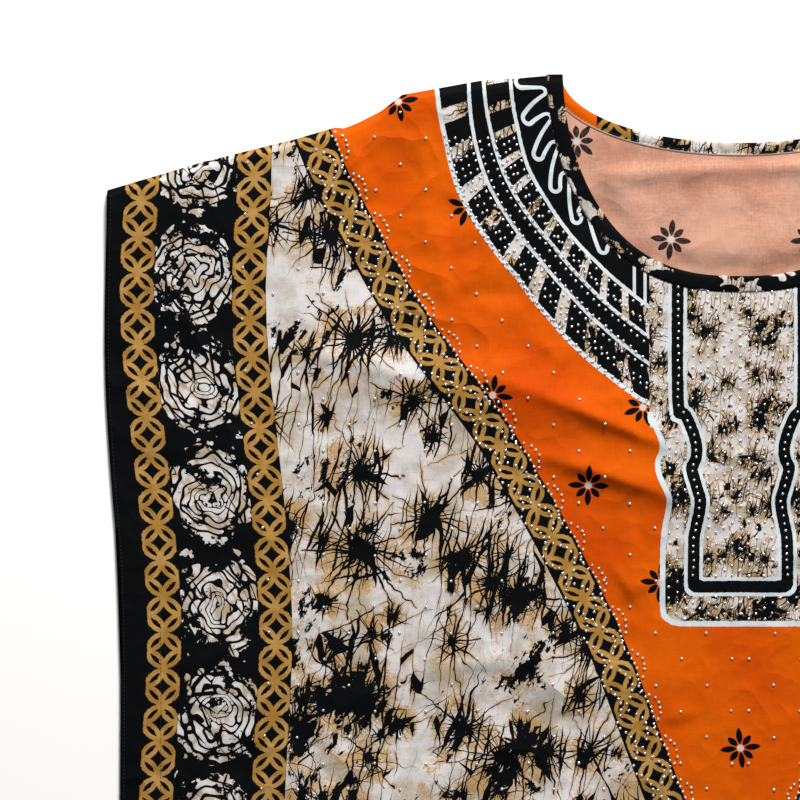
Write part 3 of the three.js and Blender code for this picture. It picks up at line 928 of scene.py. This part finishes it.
def store_fields(piece, x, y, flowers):
    """Stores where each point lies in the print, and where each face's corners lie in a flower."""
    mesh = piece.data
    for name, values in print_fields(x, y).items():
        layer = mesh.attributes.new(name, "FLOAT_VECTOR", "POINT")
        layer.data.foreach_set("vector", values.astype(np.float32).ravel())
    corner_points = np.empty(len(mesh.loops), np.int32)
    mesh.loops.foreach_get("vertex_index", corner_points)
    sizes = np.empty(len(mesh.polygons), np.int32)
    mesh.polygons.foreach_get("loop_total", sizes)
    face_of = np.repeat(np.arange(len(sizes)), sizes)
    mid_x = np.bincount(face_of, x[corner_points]) / sizes
    mid_y = np.bincount(face_of, y[corner_points]) / sizes
    spot = nearest_flower(mid_x, mid_y, flowers)[face_of]
    dx, dy = x[corner_points] - spot[:, 0], y[corner_points] - spot[:, 1]
    c, s = np.cos(spot[:, 2]), np.sin(spot[:, 2])
    local = np.stack([c * dx + s * dy, c * dy - s * dx, 0 * dx], -1)
    layer = mesh.attributes.new("flower", "FLOAT_VECTOR", "CORNER")
    layer.data.foreach_set("vector", local.astype(np.float32).ravel())


ROW_CROWDING = 1.35  # more than 1 sets the rows closer together towards the neck


def panel_grid(neck, inset, shoulder_cols, neck_cols, rows):
    """Even rows of points from the hem up to a panel's top edge, which takes in its neck."""
    start = neck["half"] + inset
    out = np.linspace(sleeve_tip, start, shoulder_cols, endpoint=False)
    left = np.stack([-out, shoulder_y(out)], -1)
    round_neck = spaced(neck_curve(neck, np.linspace(-1, 1, 801), inset), neck_cols + 1)
    right = (left * [-1, 1])[::-1]
    top = np.vstack([left, round_neck, right])
    share = np.linspace(-1, 1, len(top))
    foot = hem_y(share * hem_half)
    grid = []
    for j in range(rows + 1):
        up = 1 - (1 - j / rows) ** ROW_CROWDING
        draw = smoothstep(up, 0.35, 1.0) ** 1.5
        y = foot + (top[:, 1] - foot) * up
        x = share * half_width(y)
        x[1:-1] += (top[1:-1, 0] - x[1:-1]) * draw
        grid.append(np.stack([x, y], -1))
    grid[-1] = top
    return np.array(grid)


def grid_faces(rows, cols, first=0):
    index = first + np.arange(rows * cols).reshape(rows, cols)
    quads = np.stack([index[:-1, :-1], index[:-1, 1:], index[1:, 1:], index[1:, :-1]], -1)
    return quads.reshape(-1, 4).tolist()


def rim_of(rows, cols):
    index = np.arange(rows * cols).reshape(rows, cols)
    return np.concatenate([index[0], index[1:, -1], index[-1, -2::-1], index[-2:0:-1, 0]])


front_grid = panel_grid(FRONT_NECK, SEAM, 94, 110, 306)
rows, cols = front_grid.shape[:2]
front_x, front_y = front_grid[..., 0].ravel(), front_grid[..., 1].ravel()
front_z = front_height(front_x, front_y)
rim = rim_of(rows, cols)
HEM_TURN = 0.0011  # how thick the turned hem is
HEM_TUCK = 0.994  # the turned edge lies at this share of the way out
under = np.stack([front_x[rim], front_y[rim], front_z[rim] - HEM_TURN], -1)
tucked = under * [HEM_TUCK, HEM_TUCK, 1]
points = np.vstack([np.stack([front_x, front_y, front_z], -1), under, tucked])
faces = grid_faces(rows, cols)
count = rows * cols
ring_a = np.arange(len(rim)) + count
ring_b = ring_a + len(rim)
for k in range(len(rim)):
    n = (k + 1) % len(rim)
    faces.append([int(rim[n]), int(rim[k]), int(ring_a[k]), int(ring_a[n])])
    faces.append([int(ring_a[n]), int(ring_a[k]), int(ring_b[k]), int(ring_b[n])])
front_print = cloth_material("front_print", lambda tree: panel_print(tree, True))
front = add_mesh("front_panel", points, faces, front_print)
store_fields(front, points[:, 0], points[:, 1], FLOWERS)
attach(front, "root")
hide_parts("front")

# --- Back -----------------------------------------------------------------------------------------------
# The same width of cloth with a shallow neck. It lies flat under the front, printed face down, so that
# its paler wrong side shows through the front's neck, where it has slid into a few soft folds.
BACK_FLOWERS = [(0.0584, 0.1385, 6), (0.1370, 0.0560, 40), (0.0, 0.230, 0)]
BACK_SWELLS = [  # distance below the shoulder point, height, spread
    (0.0765, 0.0034, 0.0105), (0.1050, 0.0008, 0.010), (0.1500, 0.0038, 0.0280),
]
BACK_CREASES = [  # as the front's creases
    (-0.100, 0.072, -0.058, 0.055, 0.003, 0.0016, 0.0100, 0.0050),
    (-0.075, 0.081, -0.020, 0.072, 0.003, 0.0018, 0.0110, 0.0050),
    (-0.062, 0.100, -0.030, 0.080, 0.002, 0.0014, 0.0090, 0.0050),
    (-0.118, 0.090, -0.090, 0.112, 0.002, 0.0016, 0.0090, 0.0060),
    (0.020, 0.078, 0.080, 0.090, 0.004, 0.0018, 0.0110, 0.0055),
    (0.050, 0.112, 0.095, 0.128, 0.002, 0.0014, 0.0100, 0.0060),
]


def back_height(x, y):
    """The wrong side's height: flat, but for the soft folds that show inside the front's neck."""
    down = top_y - y + 0.05 * x
    angle = np.degrees(np.arctan2(top_y - y - NECK_CENTRE, np.abs(x)))
    edge = np.interp(angle, NECK_RINGS[:, 0], NECK_RINGS[:, 1])
    clear = smoothstep(edge - np.hypot(x, top_y - y - NECK_CENTRE), 0.004, 0.022)
    clear = clear * smoothstep(down - BACK_NECK["depth"], 0.012, 0.022)
    folds = sum(height * np.exp(-(((down - at) / spread) ** 2)) for at, height, spread in BACK_SWELLS)
    creases = sum(ridge(x, y, row, True) for row in BACK_CREASES)
    return CLOTH + (folds + creases) * clear


def wrong_side_print(tree):
    """The dye that came through to the wrong side: pale orange, with the flowers as grey ghosts."""
    x, y, _ = split(tree, field(tree, "place"))
    flat = join(x, y)
    fibres = cloudy(flat, 420, 3.0, 0.7)
    slubs = use(tree, weave, Place=flat)["Streak"]
    deeper = cloudy(flat, 16, 3.0) + (fibres - 0.5) * 0.6 + (slubs - 0.5) * 0.35
    peach = over(ramp(deeper, 0.36, 0.70), PEACH_DEEP, PEACH)
    blossom = use(tree, flower, Place=field(tree, "flower"))
    ghost = blossom["Petals"] * (fibres * 0.5 + 0.72)
    return over(blossom["Dot"], DOT_GREY, over(least(ghost, 1.0), WRONG_SIDE_GREY, peach))


back_grid = panel_grid(BACK_NECK, 0.0, 60, 60, 176)
rows, cols = back_grid.shape[:2]
back_x, back_y = back_grid[..., 0].ravel(), back_grid[..., 1].ravel()
count = rows * cols
upper = np.stack([back_x, back_y, back_height(back_x, back_y)], -1)
lower = np.stack([back_x, back_y, 0 * back_x + 0.0001], -1)
rim = rim_of(rows, cols)
faces = grid_faces(rows, cols)
upper_count = len(faces)
faces += [face[::-1] for face in grid_faces(rows, cols, count)]
for k in range(len(rim)):
    here, there = int(rim[k]), int(rim[(k + 1) % len(rim)])
    faces.append([there, here, here + count, there + count])
back_print = cloth_material("back_print", lambda tree: panel_print(tree, False))
wrong_side = cloth_material("wrong_side", wrong_side_print, 0.75)
back = add_mesh("back_panel", np.vstack([upper, lower]), faces, back_print)
back.data.materials.append(wrong_side)
sides = np.zeros(len(faces), np.int32)
sides[:upper_count] = 1
back.data.polygons.foreach_set("material_index", sides)
store_fields(back, np.tile(back_x, 2), np.tile(back_y, 2), BACK_FLOWERS)
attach(back, "root")
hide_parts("back")

# --- Neck binding and back neck facing --------------------------------------------------------------------
# One bias strip finishes the neck. Round the front it is folded over the cut edge and shows on the
# outside; round the back it is turned to the inside and topstitched as a narrow facing.
BINDING_WIDTH = 0.012
FACING_WIDTH = 0.011
FACING_ENDS = 0.93


def square_out(path):
    """Direction away from the neck hole at each point of a path that runs left to right under it."""
    ahead = np.gradient(path, axis=0)
    square = np.stack([ahead[:, 1], -ahead[:, 0]], -1)
    return square / np.hypot(*square.T)[:, None]


def strip(name, path, section, surface, material):
    """A band along a path; section pairs a distance out from the path with a height above the cloth."""
    out = square_out(path)
    walked = distances_along(path)
    points, strips = [], []
    for distance, height in section:
        place = path + out * distance
        points.append(np.column_stack([place, surface(*(path + out * max(distance, 0.001)).T) + height]))
        strips.append(np.column_stack([walked, 0 * walked + distance, 0 * walked]))
    points = np.vstack(points)
    piece = add_mesh(name, points, [f[::-1] for f in grid_faces(len(section), len(path))], material)
    for label, values in [("strip", np.vstack(strips)), ("place", points * [1, 1, 0])]:
        layer = piece.data.attributes.new(label, "FLOAT_VECTOR", "POINT")
        layer.data.foreach_set("vector", values.astype(np.float32).ravel())
    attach(piece, "root")
    return piece, walked[-1]


def binding_dye(tree):
    x, y, _ = split(tree, field(tree, "place"))
    along, across, _ = split(tree, field(tree, "strip"))
    scraps = batik(tree, join(x * 2.3, y * 2.3), 0.09)
    shown = ramp(cloudy(join(along * 1.0, across * 1.6), 46, 2.0) + cloudy(join(x, y), 190, 2.0) * 0.12,
                 0.595, 0.605)
    return over(shown, scraps, BLACK)


def facing_dye(tree):
    x, y, _ = split(tree, field(tree, "place"))
    along, across, _ = split(tree, field(tree, "strip"))
    half = abs(x)
    scraps = batik(tree, join(x * 1.8, y * 1.8), 0.06)
    rings = use(tree, chain, Across=half - 0.106, Along=across + along * 0.35, Pitch=RING_PITCH,
                Place=join(x, y))["Gold"]
    colour = over(half > 0.0905, over(rings, GOLD, BLACK), scraps)
    colour = over(half > 0.1205, ORANGE, colour)
    return over(across > FACING_WIDTH - 0.0010, WAX_WHITE, colour)


front_neck = spaced(neck_curve(FRONT_NECK, np.linspace(-1, 1, 801), SEAM), 260)
BINDING_SECTION = [
    (-0.0012, -0.0022), (-0.0014, -0.0008), (-0.0010, 0.0005), (0.0000, 0.0011), (0.0020, 0.0013),
    (0.0060, 0.0013), (0.0100, 0.0012), (0.0113, 0.0009), (0.0120, 0.0002), (0.0122, -0.0006),
]
binding_print = cloth_material("binding_print", binding_dye)
binding, length = strip("front_binding", front_neck, BINDING_SECTION, front_height, binding_print)
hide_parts("neck_binding")

turns = np.linspace(-FACING_ENDS, FACING_ENDS, 801)
back_neck = spaced(neck_curve(BACK_NECK, turns), 170)
FACING_SECTION = [
    (0.0, -0.0010), (0.0001, 0.0004), (0.0008, 0.0009), (0.0040, 0.0010), (0.0078, 0.0008),
    (0.0085, 0.0005), (0.0092, 0.0009), (0.0104, 0.0009), (0.0110, 0.0003), (0.0110, -0.0002),
]
facing_print = cloth_material("facing_print", facing_dye)
facing, length = strip("back_facing", back_neck, FACING_SECTION, back_height, facing_print)
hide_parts("neck_facing")

# --- Stitching --------------------------------------------------------------------------------------------
# Lockstitch in dark cotton: round the binding's seam and the facing, down the side hems and side seams,
# and along the bottom hem.
thread = bpy.data.materials.new("sewing_thread")
thread.use_nodes = True
thread_tree = thread.node_tree
thread_shader = thread_tree.nodes["Principled BSDF"]
twist = cloudy(Value(thread_tree, thread_tree.nodes.new("ShaderNodeTexCoord").outputs["Object"]), 900)
twisted = over(twist, (0.012, 0.008, 0.006), (0.035, 0.022, 0.014))
feed(thread_tree, thread_shader.inputs["Base Color"], twisted)
thread_shader.inputs["Roughness"].default_value = 0.8
STITCH = {"length": 0.0022, "gap": 0.0011, "half": 0.00022, "high": 0.00022}


def stitch_line(path, surface, stitch=STITCH):
    """Points and faces of a row of stitches along a path: each a small lozenge-shaped ridge."""
    pitch = stitch["length"] + stitch["gap"]
    starts = np.arange(0, distances_along(path)[-1] - pitch, pitch)
    a, b = places_along(path, starts), places_along(path, starts + stitch["length"])
    run = (b - a) / np.hypot(*(b - a).T)[:, None]
    side = np.stack([-run[:, 1], run[:, 0]], -1) * stitch["half"]
    quarter, rest = a + (b - a) * 0.2, a + (b - a) * 0.8
    corners = [a, quarter + side, rest + side, b, rest - side, quarter - side, quarter, rest]
    heights = [0, 0, 0, 0, 0, 0, stitch["high"], stitch["high"]]
    block = np.stack([np.column_stack([c, surface(*c.T) + h]) for c, h in zip(corners, heights)], 1)
    pattern = [(0, 6, 1), (1, 6, 7, 2), (2, 7, 3), (3, 7, 4), (4, 7, 6, 5), (5, 6, 0), (0, 1, 2, 3, 4, 5)]
    faces = [[8 * n + i for i in face] for n in range(len(starts)) for face in pattern]
    return block.reshape(-1, 3), faces


def stitched(name, lines, surface):
    points, faces, count = [], [], 0
    for path in lines:
        more, their = stitch_line(path, surface)
        points.append(more)
        faces += [[i + count for i in face] for face in their]
        count += len(more)
    piece = add_mesh(name, np.vstack(points), faces, thread, smooth=False)
    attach(piece, "root")
    return piece


def over_front(x, y):
    return front_height(x, y) + 0.0001


HEM_STITCH = 0.0032
SEAM_IN = 0.034  # the side seams lie this far inside the side edges, below the sleeve openings
SLEEVE_OPENING = 0.434
heights = np.linspace(top_y - SHOULDER[-1, 1] - 0.004, hem_low + HEM_RISE + 0.004, 260)
side_hem = np.stack([half_width(heights) - HEM_STITCH, heights], -1)
below_sleeve = heights[heights < top_y - SLEEVE_OPENING]
side_seam = np.stack([half_width(below_sleeve) - SEAM_IN, below_sleeve], -1)
widths = np.linspace(-hem_half + 0.006, hem_half - 0.006, 200)
bottom_hem = np.stack([widths, hem_y(widths) + 0.006], -1)
mirror = np.array([-1, 1])
front_rows = [side_hem, side_hem * mirror, side_seam, side_seam * mirror, bottom_hem]
stitched("front_stitches", front_rows, over_front)
binding_seam = front_neck + square_out(front_neck) * (BINDING_WIDTH + 0.0004)
stitched("binding_stitches", [binding_seam], over_front)
topstitch = back_neck + square_out(back_neck) * 0.0085
stitched("facing_stitches", [topstitch], lambda x, y: back_height(x, y) + 0.0006)

# --- Studs --------------------------------------------------------------------------------------------------
# Domed metal studs, fixed by heat: close together in the neck ornament and the bib, in sweeps along the
# slanting chains, and thinly sown over the yoke, the batik and the inner chains.
stud_metal = bpy.data.materials.new("stud_metal")
stud_metal.use_nodes = True
metal_tree = stud_metal.node_tree
metal = metal_tree.nodes["Principled BSDF"]
scuff = cloudy(Value(metal_tree, metal_tree.nodes.new("ShaderNodeTexCoord").outputs["Object"]), 700, 3.0)
feed(metal_tree, metal.inputs["Base Color"], over(scuff, (0.93, 0.93, 0.95), (0.74, 0.72, 0.70)))
feed(metal_tree, metal.inputs["Roughness"], scuff * 0.25 + 0.12)
metal.inputs["Metallic"].default_value = 0.92
STUD_RADIUS = 0.00148
SMALL_STUD = 0.00126
STUD_SIDES = 8
NECK_STUD_GAP = 0.0066
DOME = [(1.0, 0.0), (0.92, 0.42), (0.58, 0.78)]  # rings of the dome: share of radius, height
chance = np.random.default_rng(7)


def scattered(places, loose):
    """Places moved about a little, as studs set by hand are."""
    return places + chance.normal(0, loose, places.shape)


def ring_row(degrees, radius, gap):
    """Even places along a curve round the neck's centre, about a gap apart."""
    angle = np.radians(degrees)
    path = np.stack([radius * np.cos(angle), NECK_CENTRE + radius * np.sin(angle)], -1)
    return spaced(path, int(distances_along(path)[-1] / gap))


def neck_rows():
    """Rows of studs that follow the ornament, for its left half: distance out and height."""
    shares = {1: (0.18, 0.42, 0.66, 0.88), 2: (0.28, 0.72), 3: (0.16, 0.40, 0.64, 0.86)}
    rows = [(line, share) for line in shares for share in shares[line]]
    degrees = np.linspace(0, 84, 800)
    spots = []
    for number, (k, share) in enumerate(rows):
        inner = np.interp(degrees, NECK_RINGS[:, 0], NECK_RINGS[:, k + 1])
        outer = np.interp(degrees, NECK_RINGS[:, 0], NECK_RINGS[:, k + 2])
        row = ring_row(degrees, inner + (outer - inner) * share, NECK_STUD_GAP)
        spots.append(row + [0, NECK_STUD_GAP / 2 * (number % 2)])
    spots = np.vstack(spots)
    return spots[(spots[:, 0] > STRIPS_END + 0.002) & (spots[:, 1] > 0.050)]


def outline_row():
    degrees = np.linspace(9, 73, 600)
    radius = np.interp(degrees, NECK_RINGS[:, 0], NECK_RINGS[:, 5]) + 0.0004
    return ring_row(degrees, radius, 0.0068)


def lattice(column, row, shift=(0.0, 0.0)):
    """Staggered places all over half a panel: distance out from the centre line and down."""
    out, down = np.meshgrid(np.arange(0, 0.54, column), np.arange(0, 1.33, row))
    down = down + (np.round(out / column) % 2) * row / 2
    return np.stack([out.ravel() + shift[0], down.ravel() + shift[1]], -1)


def fields_at(spots):
    return print_fields(-spots[:, 0], top_y - spots[:, 1])


def sweeps():
    """Sweeps along the slanting chain: one curls over the band, the next bulges out on the yoke."""
    path = smooth_path(SLANT[:, ::-1], 4)
    walked = distances_along(path)
    ahead = np.gradient(path, axis=0)
    ahead /= np.hypot(*ahead.T)[:, None]
    ARCS = [  # middle from the chain's own, how far it bulges towards the yoke, how far along
        (0.0175, 0.0105, 0.000), (0.0165, 0.0040, 0.001), (0.0020, 0.0100, 0.012), (-0.0105, 0.0080, 0.024),
    ]
    spots = []
    turn = np.linspace(-1, 1, 8)
    for start in np.arange(0.018, walked[-1] - 0.02, 0.0386):
        for middle, bulge, at in ARCS:
            along = start + at + turn * 0.0165
            off = middle + bulge * (1 - turn**2) - 0.004
            run = np.stack([np.interp(along, walked, ahead[:, k]) for k in range(2)], -1)
            spots.append(places_along(path, along) + np.stack([-run[:, 1], run[:, 0]], -1) * off[:, None])
    return np.vstack(spots)


def add_studs(name, spots, radius):
    """Domes at both mirrored sets of places, joined into one mesh."""
    spots = np.vstack([spots, spots * mirror])
    x, y = scattered(np.stack([spots[:, 0], top_y - spots[:, 1]], -1), 0.0004).T
    inside = (y < shoulder_y(x) - 0.004) & (np.abs(x) < half_width(y) - 0.004) & (y > hem_y(x) + 0.006)
    x, y = x[inside], y[inside]
    base = np.column_stack([x, y, front_height(x, y) - 0.0001])
    turn = np.arange(STUD_SIDES) * 2 * math.pi / STUD_SIDES
    shape = [(r * math.cos(t), r * math.sin(t), h) for r, h in DOME for t in turn] + [(0, 0, 0.92)]
    shape = np.array(shape) * radius
    size = chance.uniform(0.9, 1.08, len(base))
    points = (base[:, None, :] + shape[None] * size[:, None, None]).reshape(-1, 3)
    pattern = []
    for level in range(len(DOME) - 1):
        for i in range(STUD_SIDES):
            a, b = level * STUD_SIDES + i, level * STUD_SIDES + (i + 1) % STUD_SIDES
            pattern.append((a, b, b + STUD_SIDES, a + STUD_SIDES))
    last = (len(DOME) - 1) * STUD_SIDES
    pattern += [(last + i, last + (i + 1) % STUD_SIDES, last + STUD_SIDES) for i in range(STUD_SIDES)]
    pattern.append(tuple(range(STUD_SIDES))[::-1])
    each = len(shape)
    faces = [[each * n + i for i in face] for n in range(len(base)) for face in pattern]
    piece = add_mesh(name, points, faces, stud_metal)
    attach(piece, "root")
    return piece


add_studs("neck_studs", neck_rows(), STUD_RADIUS * 0.95)
add_studs("outline_studs", outline_row(), SMALL_STUD)
strip_spots = lattice(0.0066, 0.0090, (0.0004, 0.002))
at_strip = fields_at(strip_spots)
in_strips = (strip_spots[:, 0] < STRIPS_END - 0.001) & (strip_spots[:, 1] > 0.176)
in_strips &= strip_spots[:, 1] < 0.29
in_bib = (at_strip["bib"][:, 0] < -0.003) & (strip_spots[:, 1] > 0.276)
on_cloth = (in_strips | in_bib) & (np.abs(at_strip["bib"][:, 1] + BAND_WIDTH / 2) > BAND_WIDTH / 2 + 0.002)
add_studs("bib_studs", strip_spots[on_cloth], STUD_RADIUS * 0.88)
band_down = np.arange(0.172, 0.425, 0.0062)
band_out = np.interp(band_down, BIB_INNER[:, 1], BIB_INNER[:, 0]) - BAND_WIDTH / 2
add_studs("band_studs", np.column_stack([band_out, band_down]), SMALL_STUD * 1.1)
open_spots = lattice(0.0214, 0.0437, (0.0072, 0.0096))
at_open = fields_at(open_spots)
clear = (at_open["neck_reach"][:, 0] > 0.006) & (at_open["border"][:, 0] > BATIK_EDGE + 0.004)
clear &= (np.abs(at_open["slant"][:, 0]) > SLANT_HALF + 0.005) & (at_open["border"][:, 2] > HEM_BAND)
clear &= (at_open["bib"][:, 0] > 0.006) & ((open_spots[:, 0] > STRIPS_END) | (open_spots[:, 1] > 0.29))
add_studs("sown_studs", open_spots[clear], STUD_RADIUS)
chain_down = np.arange(0.074, 1.25, 0.0437)
bow = np.interp(chain_down, BORDER_BOW[:, 0], BORDER_BOW[:, 1])
add_studs("chain_studs", np.column_stack([PRINT_HALF - INNER_CHAIN + 0.006 - bow, chain_down]), STUD_RADIUS)
add_studs("sweep_studs", sweeps(), STUD_RADIUS * 0.95)
